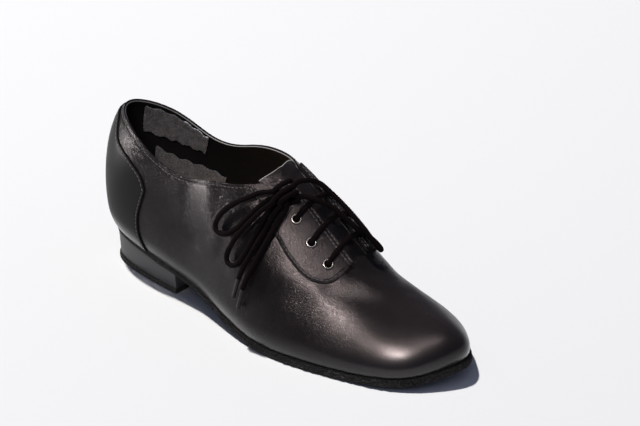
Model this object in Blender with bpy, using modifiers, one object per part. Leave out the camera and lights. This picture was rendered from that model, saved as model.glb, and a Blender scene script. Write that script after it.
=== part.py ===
"""Lace-up ballroom shoe for the right foot, as the separate pieces that its maker joins.

The toe points along +X, the outer (lateral) side of the foot is at -Y, and the shoe stands on
Z = 0 on the top piece of its heel and on the tread of its sole. Every piece of the upper is cut
from one function, last_point: the outer surface of the upper, between the feather line where it
meets the sole (height share 0) and the crown over the foot (height share 1).
"""
import math

import bmesh
import bpy
import numpy as np
from mathutils import Matrix, Vector

# Driving dimensions, in metres
LENGTH = 0.285
BALL_WIDTH = 0.0994
INSTEP = 0.1014
HEEL_HEIGHT = 0.0252
GAP = 0.0003
UPPER_WALL = 0.0018
OVERLAY_THICKNESS = 0.0011
TONGUE_THICKNESS = 0.0016
INSOLE_THICKNESS = 0.0020
TOP_PIECE_THICKNESS = 0.0038
HEEL_BREAST = 0.270 * LENGTH
SLOT_HALF_WIDTH = 0.0070
SLOT_MIDDLE = 0.0035
EYELET_BORE = 0.0040
LACE_DIAMETER = 0.0032
TIP_DIAMETER = 0.0026
TIP_LENGTH = 0.0140

# The sole's outline, a row for each section from heel to toe. Along is a share of LENGTH, near
# (lateral) and far (medial) of BALL_WIDTH, and lift, the height of the underside over the floor,
# of HEEL_HEIGHT. Thick is the sole's thickness and edge its overhang past the upper, in metres.
FOOTPRINT_COLUMNS = ("along", "near", "far", "lift", "thick", "edge")
FOOTPRINT = {
    "heel_back": (0.020, 0.000, 0.000, 0.883, 0.0026, -0.0010),
    "heel_curve": (0.045, -0.195, 0.220, 0.870, 0.0026, -0.0010),
    "heel_side": (0.155, -0.297, 0.325, 0.762, 0.0026, -0.0010),
    "breast": (0.296, -0.337, 0.331, 0.528, 0.0030, -0.0010),
    "waist": (0.392, -0.390, 0.295, 0.361, 0.0032, -0.0006),
    "joint_back": (0.537, -0.490, 0.366, 0.044, 0.0038, 0.0002),
    "ball": (0.654, -0.496, 0.415, 0.000, 0.0040, 0.0008),
    "joint_front": (0.764, -0.438, 0.430, 0.000, 0.0040, 0.0010),
    "shoulder": (0.886, -0.329, 0.408, 0.067, 0.0040, 0.0010),
    "toe_curve": (0.955, -0.150, 0.266, 0.170, 0.0040, 0.0010),
    "toe_tip": (0.987, 0.090, 0.090, 0.280, 0.0040, 0.0010),
}

# The rib that rises from each section. The belly is how far it swells out and up over the sole,
# the roof how far it runs flat before the crown. Belly_out, crown_side and roof_out are shares
# of BALL_WIDTH, crown_at of LENGTH, the rest of INSTEP.
RIB_COLUMNS = ("belly_out", "belly_up", "crown_at", "crown_side", "crown_high", "roof_out")
RIBS = {
    "heel_back": (0.098, 0.230, 0.142, 0.000, 1.140, 0.541),
    "heel_curve": (0.094, 0.226, 0.188, 0.000, 1.120, 0.474),
    "heel_side": (0.080, 0.230, 0.248, 0.000, 1.100, 0.378),
    "breast": (0.068, 0.224, 0.320, 0.000, 1.110, 0.350),
    "waist": (0.067, 0.220, 0.418, 0.000, 1.105, 0.365),
    "joint_back": (0.060, 0.207, 0.521, 0.000, 0.995, 0.360),
    "ball": (0.042, 0.170, 0.648, 0.021, 0.725, 0.309),
    "joint_front": (0.029, 0.136, 0.748, 0.036, 0.512, 0.262),
    "shoulder": (0.025, 0.120, 0.812, 0.043, 0.422, 0.244),
    "toe_curve": (0.023, 0.115, 0.866, 0.050, 0.382, 0.234),
    "toe_tip": (0.025, 0.118, 0.895, 0.054, 0.366, 0.246),
}

# The collar's height share at each section from the heel to the front of the quarters
COLLAR_COLUMNS = ("near", "far")
COLLAR = {
    "heel_back": (0.725, 0.725),
    "heel_curve": (0.715, 0.660),
    "heel_side": (0.635, 0.566),
    "breast": (0.610, 0.645),
    "waist": (0.672, 0.740),
    "joint_back": (0.865, 0.900),
    "ball": (1.250, 1.200),
}

SECTIONS = list(FOOTPRINT)
TOE = len(SECTIONS) - 1
TURN = 2 * TOE
THROAT = 6.6
SLOT_START = 4.4
TOE_SEAM_SHARE = 0.86

# The lower edge of each eyestay, from the collar round to the corner of the throat: section
# number and height share on the near side, mirrored on the far side.
EYESTAY_SEAM = (
    (4.72, 0.745), (5.08, 0.715), (5.43, 0.650), (5.72, 0.612), (6.05, 0.600),
    (6.33, 0.645), (6.48, 0.710), (6.56, 0.810),
)
# Its upper edge follows the slot between two sections, a margin of height share below it
EYESTAY_EDGE = (5.00, 6.56)
EYESTAY_MARGIN = 0.012
EYESTAY_LEAST = 0.030
EYELETS = ((5.55, 0.810), (5.88, 0.778), (6.25, 0.760))

# The heel counter: its top edge (share of its reach, height share), its front edge (height
# share, section number), the same on both sides, and the height share of its lower edge.
COUNTER_TOP = ((0.00, 0.690), (0.24, 0.680), (0.36, 0.640), (0.47, 0.600), (0.65, 0.570),
               (0.80, 0.535), (0.92, 0.495), (1.00, 0.440))
COUNTER_FRONT = ((0.00, 2.17), (0.10, 2.10), (0.17, 2.05), (0.26, 2.02), (0.36, 2.04),
                 (0.44, 2.05), (0.70, 2.00))
COUNTER_FOOT = 0.012

# The tongue's half width from its free end to its end under the vamp: section number, metres
TONGUE_WIDTH = ((4.70, 0.022), (5.20, 0.022), (7.10, 0.016))

# The lace's free runs: section number, height share and height of the cord's middle over the
# upper in metres, from the knot out.
KNOT_SPOT = (5.254, 0.853, 0.0062)
KNOT_RADII = (0.0092, 0.0068, 0.0044)
KNOT_REACH = 0.0034
LOOP_UPPER = (
    (4.995, 0.778, 0.0057), (4.920, 0.752, 0.0048), (4.770, 0.697, 0.0038), (4.605, 0.643, 0.0036),
    (4.460, 0.590, 0.0036), (4.360, 0.541, 0.0036), (4.320, 0.501, 0.0036), (4.380, 0.480, 0.0036),
    (4.510, 0.487, 0.0036), (4.640, 0.513, 0.0036), (4.760, 0.552, 0.0036), (4.860, 0.599, 0.0036),
    (4.940, 0.648, 0.0037), (5.010, 0.698, 0.0040), (5.070, 0.746, 0.0044),
)
LOOP_LOWER = (
    (5.200, 0.768, 0.0102), (5.160, 0.738, 0.0094), (5.100, 0.696, 0.0082), (5.030, 0.645, 0.0069),
    (4.925, 0.586, 0.0050), (4.810, 0.525, 0.0036), (4.730, 0.470, 0.0036), (4.685, 0.423, 0.0036),
    (4.710, 0.397, 0.0036), (4.805, 0.397, 0.0036), (4.900, 0.418, 0.0036), (4.970, 0.451, 0.0036),
    (5.040, 0.502, 0.0036), (5.090, 0.559, 0.0036), (5.135, 0.624, 0.0037), (5.165, 0.690, 0.0042),
    (5.180, 0.741, 0.0046),
)
END_SHORT = (
    (5.275, 0.746, 0.0054), (5.260, 0.703, 0.0046), (5.230, 0.632, 0.0039), (5.175, 0.562, 0.0036),
    (5.110, 0.493, 0.0036), (5.040, 0.429, 0.0036), (4.980, 0.370, 0.0036),
)
END_LONG = (
    (5.370, 0.756, 0.0058), (5.365, 0.722, 0.0052), (5.355, 0.680, 0.0046), (5.330, 0.628, 0.0040),
    (5.295, 0.569, 0.0036), (5.245, 0.510, 0.0036), (5.190, 0.452, 0.0036), (5.130, 0.393, 0.0036),
    (5.080, 0.338, 0.0036),
)
LOOP_FAR = (
    (5.290, 0.961, 0.0096), (5.340, 0.997, 0.0100), (14.560, 0.977, 0.0104),
    (14.420, 0.967, 0.0110), (14.245, 0.958, 0.0116), (14.055, 0.948, 0.0118),
    (13.860, 0.940, 0.0117), (13.680, 0.932, 0.0112), (13.515, 0.916, 0.0096),
    (13.395, 0.880, 0.0072), (13.350, 0.836, 0.0054), (13.378, 0.794, 0.0044),
    (13.460, 0.768, 0.0041), (13.555, 0.773, 0.0041), (13.625, 0.808, 0.0044),
    (13.650, 0.852, 0.0056), (13.680, 0.893, 0.0068), (13.725, 0.925, 0.0077),
    (13.785, 0.947, 0.0081), (13.875, 0.960, 0.0082), (13.990, 0.971, 0.0082),
    (14.110, 0.983, 0.0082), (14.230, 0.999, 0.0082), (5.670, 0.974, 0.0082), (5.540, 0.939, 0.0082),
)


def along_ring(table, columns, name):
    """One column of a section table, up the near side and back down the far side."""
    number = columns.index(name)
    side = np.array([table[section][number] for section in SECTIONS])
    return np.concatenate([side, side[-2:0:-1]])


def closed_spline(values):
    """A smooth closed curve that takes each value at its whole number."""
    values = np.asarray(values, float)
    count = len(values)
    index = np.arange(count)
    matrix = np.zeros((count, count))
    matrix[index, index] = 4
    matrix[index, (index + 1) % count] = 1
    matrix[index, index - 1] = 1
    bend = np.linalg.solve(matrix, 6 * (np.roll(values, -1, 0) - 2 * values + np.roll(values, 1, 0)))

    def at(place):
        place = np.mod(np.asarray(place, float), count)
        low = np.floor(place).astype(int) % count
        high = (low + 1) % count
        part = place - np.floor(place)
        if values.ndim > 1:
            part = part[..., None]
        rest = 1 - part
        line = values[low] * rest + values[high] * part
        return line + (rest**3 - rest) * bend[low] / 6 + (part**3 - part) * bend[high] / 6

    return at


def footprint(name):
    return along_ring(FOOTPRINT, FOOTPRINT_COLUMNS, name)


def rib(name):
    return along_ring(RIBS, RIB_COLUMNS, name)[:, None]


near_side = np.arange(TURN) <= TOE
outline_y = np.where(near_side, footprint("near"), footprint("far")) * BALL_WIDTH
seat_height = footprint("lift") * HEEL_HEIGHT + footprint("thick") + GAP
feather_points = np.stack([footprint("along") * LENGTH, outline_y, seat_height], 1)
run = np.roll(feather_points, -1, 0) - np.roll(feather_points, 1, 0)
outward_rows = np.stack([run[:, 1], -run[:, 0], 0 * run[:, 0]], 1)
outward_rows /= np.linalg.norm(outward_rows, axis=1)[:, None]
UPWARD = np.array([0.0, 0.0, 1.0])
belly_run = outward_rows * rib("belly_out") * BALL_WIDTH
belly_points = feather_points + belly_run + UPWARD * rib("belly_up") * INSTEP
crown_points = np.concatenate(
    [rib("crown_at") * LENGTH, rib("crown_side") * BALL_WIDTH, rib("crown_high") * INSTEP], 1
)
# The roof leaves the crown at the crown's own slope, so that both sides meet without a crease
crown_side = crown_points[: TOE + 1]
slope_side = np.gradient(crown_side[:, 2], crown_side[:, 0])
crown_slope = np.concatenate([slope_side, slope_side[-2:0:-1]])[:, None]
roof_run = outward_rows * rib("roof_out") * BALL_WIDTH
roof_points = crown_points + roof_run + UPWARD * crown_slope * roof_run[:, :1]
feather, belly, roof, crown = [
    closed_spline(rows) for rows in (feather_points, belly_points, roof_points, crown_points)
]
sole_thickness = closed_spline(footprint("thick"))
sole_overhang = closed_spline(footprint("edge"))


def last_point(section, height):
    """The upper's outer surface: section runs round the foot, height from feather to crown."""
    section, height = np.broadcast_arrays(np.asarray(section, float), np.asarray(height, float))
    up = height[..., None]
    down = 1 - up
    low = feather(section) * down**3 + 3 * belly(section) * up * down**2
    return low + 3 * roof(section) * up**2 * down + crown(section) * up**3


def last_normal(section, height, step=0.001):
    """The surface's outward direction."""
    section, height = np.broadcast_arrays(np.asarray(section, float), np.asarray(height, float))
    forward = last_point(section + step, height) - last_point(section - step, height)
    above = last_point(section, np.minimum(height + step, 1))
    below = last_point(section, np.maximum(height - step, 0))
    normal = np.cross(forward, above - below)
    return normal / np.linalg.norm(normal, axis=-1, keepdims=True)


def lifted(section, height, lift):
    """A point that stands a distance off the upper."""
    return last_point(section, height) + last_normal(section, height) * np.asarray(lift)[..., None]


def outline(section, overhang, step=0.01):
    """The feather line, moved outward on the level."""
    ahead = feather(np.asarray(section) + step) - feather(np.asarray(section) - step)
    outward = np.stack([ahead[..., 1], -ahead[..., 0], 0 * ahead[..., 0]], -1)
    outward /= np.linalg.norm(outward, axis=-1, keepdims=True)
    return feather(section) + outward * np.asarray(overhang)[..., None]


def underside(section):
    """Height of the sole's underside, flat on the floor under the tread."""
    return np.maximum(feather(section)[..., 2] - GAP - sole_thickness(section), 0.0)


def height_where(section, test):
    """The lowest height share on a rib at which test first becomes positive."""
    shares = np.linspace(0.3, 1.0, 701)
    passed = test(last_point(section, shares)) > 0
    return shares[np.argmax(passed)] if passed.any() else 1.0


def slot_edge(section):
    """Height share at the edge of the lacing slot, which starts in front of the waist."""
    if min(section, TURN - section) < SLOT_START:
        return 1.0
    if section <= TOE:
        return height_where(section, lambda point: point[:, 1] - (SLOT_MIDDLE - SLOT_HALF_WIDTH))
    return height_where(section, lambda point: (SLOT_MIDDLE + SLOT_HALF_WIDTH) - point[:, 1])


def collar_share(section):
    """Height share of the collar, eased from row to row."""
    side = "near" if section <= TOE else "far"
    place = section if section <= TOE else TURN - section
    rows = [row[COLLAR_COLUMNS.index(side)] for row in COLLAR.values()]
    mirrored = rows + rows[-2:0:-1]
    return float(closed_spline(mirrored)(min(place, len(rows) - 1)))


def top_share(section, corner=0.03):
    """Height share of the upper's edge: collar, rounded facing corner and lacing slot."""
    collar = collar_share(section)
    slot = slot_edge(section)
    gap = max(corner - abs(collar - slot), 0) / corner
    return min(collar, slot) - gap * gap * corner / 4


def panel_share(section):
    """Height share that divides the vamp's sides from the strip along its crown."""
    ahead = abs(section - TOE) / (TOE - THROAT)
    edge = slot_edge(THROAT if section <= TOE else TURN - THROAT)
    return TOE_SEAM_SHARE + (edge - TOE_SEAM_SHARE) * ahead


def smooth_run(points, count):
    """Points spaced evenly along a smooth open curve through a route's own points."""
    points = np.asarray(points, float)
    padded = np.concatenate([[2 * points[0] - points[1]], points, [2 * points[-1] - points[-2]]])
    dense = []
    for before, start, end, after in zip(padded, padded[1:], padded[2:], padded[3:]):
        for part in np.linspace(0, 1, 24, endpoint=False):
            bend = 2 * before - 5 * start + 4 * end - after
            twist = 3 * start - before - 3 * end + after
            dense.append(start + 0.5 * part * (end - before + bend * part + twist * part**2))
    dense.append(points[-1])
    dense = np.array(dense)
    walked = np.concatenate([[0], np.cumsum(np.linalg.norm(np.diff(dense, axis=0), axis=1))])
    places = np.linspace(0, walked[-1], count)
    return np.stack([np.interp(places, walked, dense[:, axis]) for axis in range(3)], 1)


for old in list(bpy.data.objects):
    bpy.data.objects.remove(old, do_unlink=True)

shoe_parts = bpy.data.collections.new("ballroom_shoe")
cutters = bpy.data.collections.new("cutters")
bpy.context.scene.collection.children.link(shoe_parts)
bpy.context.scene.collection.children.link(cutters)
shoe = bpy.data.objects.new("shoe", None)
shoe_parts.objects.link(shoe)


def material(name, colour, roughness, metallic=0.0):
    made = bpy.data.materials.new(name)
    made.use_nodes = True
    shader = made.node_tree.nodes["Principled BSDF"]
    shader.inputs["Base Color"].default_value = (*colour, 1.0)
    shader.inputs["Roughness"].default_value = roughness
    shader.inputs["Metallic"].default_value = metallic
    return made


leather = material("black_leather", (0.016, 0.014, 0.015), 0.42)
heel_cover = material("heel_cover", (0.030, 0.030, 0.032), 0.50)
suede = material("sole_suede", (0.012, 0.012, 0.013), 0.95)
insole_leather = material("insole_leather", (0.42, 0.26, 0.15), 0.70)
eyelet_metal = material("eyelet_metal", (0.45, 0.42, 0.40), 0.30, 1.0)
lace_cord = material("lace_cord", (0.020, 0.014, 0.014), 0.80)
tip_plastic = material("tip_plastic", (0.10, 0.08, 0.08), 0.25)


def add_mesh(name, points, faces, finish):
    """A mesh object, smooth over shallow angles."""
    mesh = bpy.data.meshes.new(name)
    mesh.from_pydata([tuple(point) for point in points], [], faces)
    mesh.shade_smooth()
    mesh.set_sharp_from_angle(angle=math.radians(35))
    mesh.materials.append(finish)
    made = bpy.data.objects.new(name, mesh)
    made.parent = shoe
    shoe_parts.objects.link(made)
    return made


def thicken(item, thickness, side):
    """Gives an open surface its wall: side 1 grows outward, -1 inward."""
    wall = item.modifiers.new("wall", "SOLIDIFY")
    wall.thickness = thickness
    wall.offset = side
    wall.use_even_offset = True
    wall.use_quality_normals = True


def grid_faces(rows, columns, first=0, wrap=False):
    """Quads between neighbouring rows of points, wound to face out of the shoe."""
    faces = []
    for row in range(rows if wrap else rows - 1):
        following = (row + 1) % rows
        for column in range(columns - 1):
            a = first + row * columns + column
            b = first + following * columns + column
            faces.append((a, b, b + 1, a + 1))
    return faces


def patch(name, section, height, lift, thickness, finish):
    """A panel over or under the upper, from grids of section and height."""
    points = lifted(section, height, np.full(section.shape, lift))
    made = add_mesh(name, points.reshape(-1, 3), grid_faces(*section.shape), finish)
    thicken(made, thickness, 1)
    return made


def slab(name, rings, finish):
    """A solid between stacked rings, top one first, whose ends are closed straight across."""
    count = len(rings[0])
    points = np.concatenate(rings)
    faces = []
    for level in range(len(rings) - 1):
        upper_start = level * count
        lower_start = upper_start + count
        for k in range(count):
            following = (k + 1) % count
            top_edge = (upper_start + following, upper_start + k)
            faces.append((lower_start + k, lower_start + following, *top_edge))
    bottom = (len(rings) - 1) * count
    for k in range(count // 2 - 1):
        across = count - 1 - k
        faces.append((k, k + 1, across - 1, across))
        faces.append((bottom + across, bottom + across - 1, bottom + k + 1, bottom + k))
    return add_mesh(name, points, faces, finish)


def at_height(points, height):
    return np.concatenate([points[:, :2], np.broadcast_to(height, len(points))[:, None]], 1)


def half_steps(low, high, count):
    """Section numbers in the middle of equal steps, so that each has a twin across the shoe."""
    return low + (np.arange(count) + 0.5) * (high - low) / count


# Sole: one thin flexible layer whose side steps in above the tread
SOLE_STEPS = ((0.00, 0.0007), (0.30, 0.0007), (0.38, 0.0), (0.86, 0.0), (1.00, 0.0007))


def make_outsole():
    places = half_steps(0, TURN, 64)
    top = feather(places)[:, 2] - GAP
    bottom = underside(places)
    rings = []
    for depth, inset in SOLE_STEPS:
        ring = outline(places, sole_overhang(places) - inset)
        rings.append(at_height(ring, top + (bottom - top) * depth))
    slab("outsole", rings, suede)


# Heel: a covered block under the seat, with a thin top piece that meets the floor
HEEL_TOP_INSET = 0.0016
HEEL_FOOT_INSET = 0.0026
TOP_PIECE_INSET = 0.0019


def heel_ring(inset, count=36):
    ends = np.linspace(2, 4, 2001)
    reach = float(ends[np.argmax(feather(ends)[:, 0] > HEEL_BREAST)])
    places = np.linspace(-reach, reach, count)
    ring = outline(places, np.full(count, -inset))
    ring[0, 0] = ring[-1, 0] = HEEL_BREAST
    return places, np.roll(ring, count // 2, axis=0)


def make_heel():
    places, top = heel_ring(HEEL_TOP_INSET)
    seat = np.roll(underside(places), len(places) // 2) - GAP
    foot = heel_ring(HEEL_FOOT_INSET)[1]
    slab("heel", [at_height(top, seat), at_height(foot, TOP_PIECE_THICKNESS + GAP)], heel_cover)
    rim = heel_ring(TOP_PIECE_INSET)[1]
    slab("heel_top_piece", [at_height(rim, TOP_PIECE_THICKNESS), at_height(rim, 0.0)], suede)


def make_insole():
    places = half_steps(0, TURN, 56)
    ring = outline(places, np.full(len(places), -UPPER_WALL - 2 * GAP))
    seat = feather(places)[:, 2]
    slab("insole", [at_height(ring, seat + INSOLE_THICKNESS), at_height(ring, seat)], insole_leather)


# Upper: one leather and lining wall, open at the collar, the lacing slot and underneath
SIDE_LEVELS = 10
CROWN_LEVELS = 2


def upper_sections():
    back = np.linspace(0, THROAT, 25)
    front = np.linspace(THROAT, TOE, 12)[1:]
    near = np.concatenate([back, front])
    return np.concatenate([near, TURN - near[-2:0:-1]])


def make_upper():
    places = upper_sections()
    in_front = (places >= THROAT - 1e-6) & (places <= TURN - THROAT + 1e-6)
    tops = np.array([panel_share(s) if ahead else top_share(s) for s, ahead in zip(places, in_front)])
    levels = np.linspace(0, 1, SIDE_LEVELS + 1)
    sides = last_point(places[:, None], tops[:, None] * levels)
    faces = grid_faces(len(places), SIDE_LEVELS + 1, wrap=True)
    front, front_tops = places[in_front], tops[in_front]
    strip = np.linspace(0, 1, CROWN_LEVELS + 1)
    crown_strip = last_point(front[:, None], front_tops[:, None] + (1 - front_tops[:, None]) * strip)
    faces += grid_faces(len(front), CROWN_LEVELS + 1, first=sides.shape[0] * sides.shape[1])
    points = np.concatenate([sides.reshape(-1, 3), crown_strip.reshape(-1, 3)])
    upper = add_mesh("upper", points, faces, leather)
    shape = bmesh.new()
    shape.from_mesh(upper.data)
    bmesh.ops.remove_doubles(shape, verts=shape.verts, dist=1e-6)
    shape.to_mesh(upper.data)
    shape.free()
    thicken(upper, UPPER_WALL, -1)
    return upper


def make_counter():
    reach = np.linspace(-1, 1, 33)
    shares = np.linspace(0, 1, 11)
    top = np.interp(np.abs(reach), *zip(*COUNTER_TOP))
    height = COUNTER_FOOT + (top[:, None] - COUNTER_FOOT) * shares
    section = reach[:, None] * np.interp(height, *zip(*COUNTER_FRONT))
    patch("heel_counter", section, height, GAP, OVERLAY_THICKNESS, leather)


def make_eyestays():
    """Each eyestay runs from its curved seam up to the edge of the lacing slot."""
    seam = smooth_run([(s, h, 0) for s, h in EYESTAY_SEAM], 17)
    made = []
    for side in ("near", "far"):
        low_section = seam[:, 0] if side == "near" else TURN - seam[:, 0]
        edge_near = np.linspace(*EYESTAY_EDGE, len(seam))
        edge_section = edge_near if side == "near" else TURN - edge_near
        edge = np.array([top_share(s) for s in edge_section]) - EYESTAY_MARGIN
        low = np.minimum(seam[:, 1], edge - EYESTAY_LEAST)
        across = np.linspace(0, 1, 6)
        section = low_section[:, None] + (edge_section - low_section)[:, None] * across
        height = low[:, None] + (edge - low)[:, None] * across
        if side == "far":
            section, height = section[::-1], height[::-1]
        made.append(patch("eyestay_" + side, section, height, GAP, OVERLAY_THICKNESS, leather))
    return made


def make_tongue():
    """A leather flap under the lacing, tucked below the throat and standing above the facings."""
    rows = np.linspace(TONGUE_WIDTH[-1][0], TONGUE_WIDTH[0][0], 13)
    half_width = np.interp(rows, *zip(*TONGUE_WIDTH))
    section, height = [], []
    for place, width in zip(rows, half_width):
        near = height_where(place, lambda point: point[:, 1] - (SLOT_MIDDLE - width))
        far = height_where(TURN - place, lambda point: (SLOT_MIDDLE + width) - point[:, 1])
        height.append(np.concatenate([np.linspace(near, 1, 4), np.linspace(1, far, 4)[1:]]))
        section.append([place] * 4 + [TURN - place] * 3)
    section, height = np.array(section), np.array(height)
    depth = UPPER_WALL + GAP + TONGUE_THICKNESS
    patch("tongue", section, height, -depth, TONGUE_THICKNESS, leather)


# Eyelets: turned metal rings through eyestay and upper, in holes a little wider than their barrels
EYELET_FLANGE = 0.0036
EYELET_HEIGHT = 0.0007
EYELET_WALL = 0.0004
EYELET_BARREL = EYELET_BORE / 2 + EYELET_WALL
EYELET_SEAT = 2 * GAP + OVERLAY_THICKNESS
EYELET_DEPTH = EYELET_SEAT + UPPER_WALL


def eyelet_frames():
    """Name and placement of each eyelet, its axis square to the upper."""
    for number, (section, height) in enumerate(EYELETS, 1):
        for side in ("near", "far"):
            place = section if side == "near" else TURN - section
            point = Vector(last_point(place, height))
            axis = Vector(last_normal(place, height))
            turned = axis.to_track_quat("Z", "Y").to_matrix().to_4x4()
            yield f"{side}_{number}", Matrix.Translation(point) @ turned


def make_eyelets(cut_pieces):
    outer, inner = EYELET_BARREL, EYELET_BORE / 2
    top, seat, foot = EYELET_SEAT + EYELET_HEIGHT, EYELET_SEAT, -UPPER_WALL
    flange = [(inner, top), (EYELET_FLANGE - EYELET_WALL, top), (EYELET_FLANGE, seat)]
    profile = flange + [(outer, seat), (outer, foot), (inner, foot)]
    drill = bmesh.new()
    for name, frame in eyelet_frames():
        count = len(profile)
        mesh = bpy.data.meshes.new("eyelet")
        edges = [(k, (k + 1) % count) for k in range(count)]
        mesh.from_pydata([(x, 0, z) for x, z in profile], edges, [])
        mesh.materials.append(eyelet_metal)
        made = bpy.data.objects.new("eyelet_" + name, mesh)
        made.parent = shoe
        made.matrix_local = frame
        shoe_parts.objects.link(made)
        turn = made.modifiers.new("turn", "SCREW")
        turn.steps = turn.render_steps = 12
        turn.use_merge_vertices = True
        turn.merge_threshold = 0.00001
        bmesh.ops.create_cone(
            drill, cap_ends=True, segments=12, radius1=outer + GAP, radius2=outer + GAP,
            depth=4 * EYELET_DEPTH, matrix=frame,
        )
    mesh = bpy.data.meshes.new("eyelet_drill")
    drill.to_mesh(mesh)
    drill.free()
    cutter = bpy.data.objects.new("eyelet_drill", mesh)
    cutter.parent = shoe
    cutter.hide_render = True
    cutter.display_type = "WIRE"
    cutters.objects.link(cutter)
    for piece in cut_pieces:
        hole = piece.modifiers.new("eyelet_holes", "BOOLEAN")
        hole.operation = "DIFFERENCE"
        hole.object = cutter


def tube(name, points, diameter, finish):
    """A round cord along a list of points, closed at both ends."""
    curve = bpy.data.curves.new(name, "CURVE")
    curve.dimensions = "3D"
    curve.bevel_depth = diameter / 2
    curve.bevel_resolution = 2
    curve.use_fill_caps = True
    spline = curve.splines.new("POLY")
    spline.points.add(len(points) - 1)
    for place, point in zip(spline.points, points):
        place.co = (*point, 1.0)
    curve.materials.append(finish)
    made = bpy.data.objects.new(name, curve)
    made.parent = shoe
    shoe_parts.objects.link(made)


BAR_LIFT = EYELET_SEAT + EYELET_HEIGHT + 2 * GAP + LACE_DIAMETER / 2
BAR_SAG = 0.0008


def make_lace_bars():
    """Each bar runs from eyelet to eyelet, level with the facings and clear of them."""
    for number, (section, height) in enumerate(EYELETS, 1):
        climb = np.linspace(height, 1, 6)
        near = lifted(section, climb, BAR_LIFT - BAR_SAG * (climb - height) / (1 - height))
        far = lifted(TURN - section, climb, BAR_LIFT - BAR_SAG * (climb - height) / (1 - height))
        tube(f"lace_bar_{number}", np.concatenate([near, far[-2::-1]]), LACE_DIAMETER, lace_cord)


def knot_frame():
    """Placement of the knot: X toward the toe along the facing, Z out of the upper."""
    section, height, lift = KNOT_SPOT
    axis = Vector(last_normal(section, height))
    ahead = Vector(last_point(section + 0.1, height) - last_point(section - 0.1, height))
    ahead = (ahead - axis * ahead.dot(axis)).normalized()
    turned = Matrix((ahead, axis.cross(ahead), axis)).transposed().to_4x4()
    return Matrix.Translation(Vector(lifted(section, height, lift))) @ turned


def knot_exit(angle, tilt):
    """Where a strand leaves the knot, and a second point straight out from there."""
    angle, tilt = math.radians(angle), math.radians(tilt)
    level = math.cos(tilt)
    place = Vector((math.cos(angle) * level, math.sin(angle) * level, math.sin(tilt)))
    on_knot = Vector([radius * part for radius, part in zip(KNOT_RADII, place)])
    outward = Vector([part / radius for radius, part in zip(KNOT_RADII, place)]).normalized()
    frame = knot_frame()
    return [frame @ (on_knot + outward * reach) for reach in (GAP, KNOT_REACH)]


CORD_FINENESS = 2.4

# Each free run of the lace with the angle and tilt, in degrees, at which it leaves the knot and
# comes back
LACE_RUNS = {
    "lace_loop_upper": (LOOP_UPPER, (229, -4), (247, -30)),
    "lace_loop_lower": (LOOP_LOWER, (262, 20), (272, -26)),
    "lace_end_short": (END_SHORT, (291, -8), None),
    "lace_end_long": (END_LONG, (313, -8), None),
    "lace_loop_far": (LOOP_FAR, (92, 18), (46, -4)),
}


def make_lace_bow():
    knot = bmesh.new()
    bmesh.ops.create_uvsphere(knot, u_segments=16, v_segments=8, radius=1.0)
    bmesh.ops.transform(knot, matrix=Matrix.Diagonal((*KNOT_RADII, 1.0)), verts=knot.verts)
    mesh = bpy.data.meshes.new("lace_knot")
    knot.to_mesh(mesh)
    knot.free()
    mesh.shade_smooth()
    mesh.materials.append(lace_cord)
    made = bpy.data.objects.new("lace_knot", mesh)
    made.parent = shoe
    made.matrix_local = knot_frame()
    shoe_parts.objects.link(made)
    for name, (route, leave, come_back) in LACE_RUNS.items():
        points = knot_exit(*leave) + [Vector(lifted(*place)) for place in route]
        if come_back:
            points += knot_exit(*come_back)[::-1]
        cord = smooth_run(points, int(CORD_FINENESS * len(points)))
        tube(name, cord, LACE_DIAMETER, lace_cord)
        if not come_back:
            ahead = (cord[-1] - cord[-2]) / np.linalg.norm(cord[-1] - cord[-2])
            start = cord[-1] + ahead * GAP
            tip = [start, start + ahead * TIP_LENGTH]
            tube(name.replace("end", "tip"), tip, TIP_DIAMETER, tip_plastic)


make_outsole()
make_heel()
make_insole()
upper_piece = make_upper()
make_counter()
eyestay_pieces = make_eyestays()
make_tongue()
make_eyelets([upper_piece] + eyestay_pieces)
make_lace_bars()
make_lace_bow()

# The origin is under the middle of the shoe's own box, without the lace
bpy.context.view_layer.update()
built = bpy.context.evaluated_depsgraph_get()
corners = np.array([
    piece.matrix_world @ Vector(corner)
    for piece in shoe_parts.objects
    if piece.type == "MESH" and piece.name != "lace_knot"
    for corner in piece.evaluated_get(built).bound_box
])
middle = (corners.min(axis=0) + corners.max(axis=0)) / 2
shoe.location = (-middle[0], -middle[1], 0.0)
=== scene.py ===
"""Looks of a lace-up ballroom shoe for the right foot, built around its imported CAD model."""
import math

import bmesh
import bpy
import numpy as np
from mathutils import Matrix, Vector


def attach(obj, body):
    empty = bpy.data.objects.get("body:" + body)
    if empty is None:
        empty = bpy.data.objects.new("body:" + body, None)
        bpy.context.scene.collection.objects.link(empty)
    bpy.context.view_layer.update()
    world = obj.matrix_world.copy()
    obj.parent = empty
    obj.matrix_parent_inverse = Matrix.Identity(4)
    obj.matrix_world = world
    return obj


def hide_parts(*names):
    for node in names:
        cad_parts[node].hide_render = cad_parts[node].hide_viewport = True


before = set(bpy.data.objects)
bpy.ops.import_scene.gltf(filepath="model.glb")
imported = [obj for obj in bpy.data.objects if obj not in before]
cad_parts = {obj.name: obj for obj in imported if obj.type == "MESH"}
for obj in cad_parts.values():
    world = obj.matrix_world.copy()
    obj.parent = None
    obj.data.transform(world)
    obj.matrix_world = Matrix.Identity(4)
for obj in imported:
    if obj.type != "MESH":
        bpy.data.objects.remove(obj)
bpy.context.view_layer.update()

# Studio. The camera stands where the photograph's did, in front of the outer side and above it. A
# plain pale floor lies under a high key light and a pale sky, with three soft boxes whose gloss
# alone counts: over the vamp, over the eyestays and low beside the quarter.
VIEW_AIM = Vector((-0.0444, 0.0939, 0.0171))
VIEW_TURN = 40.865
VIEW_RISE = 27.854
VIEW_DISTANCE = 1.7418
VIEW_LENS = 146.39
VIEW_SENSOR = 36.0
FLOOR_SIZE = 12.0
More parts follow.
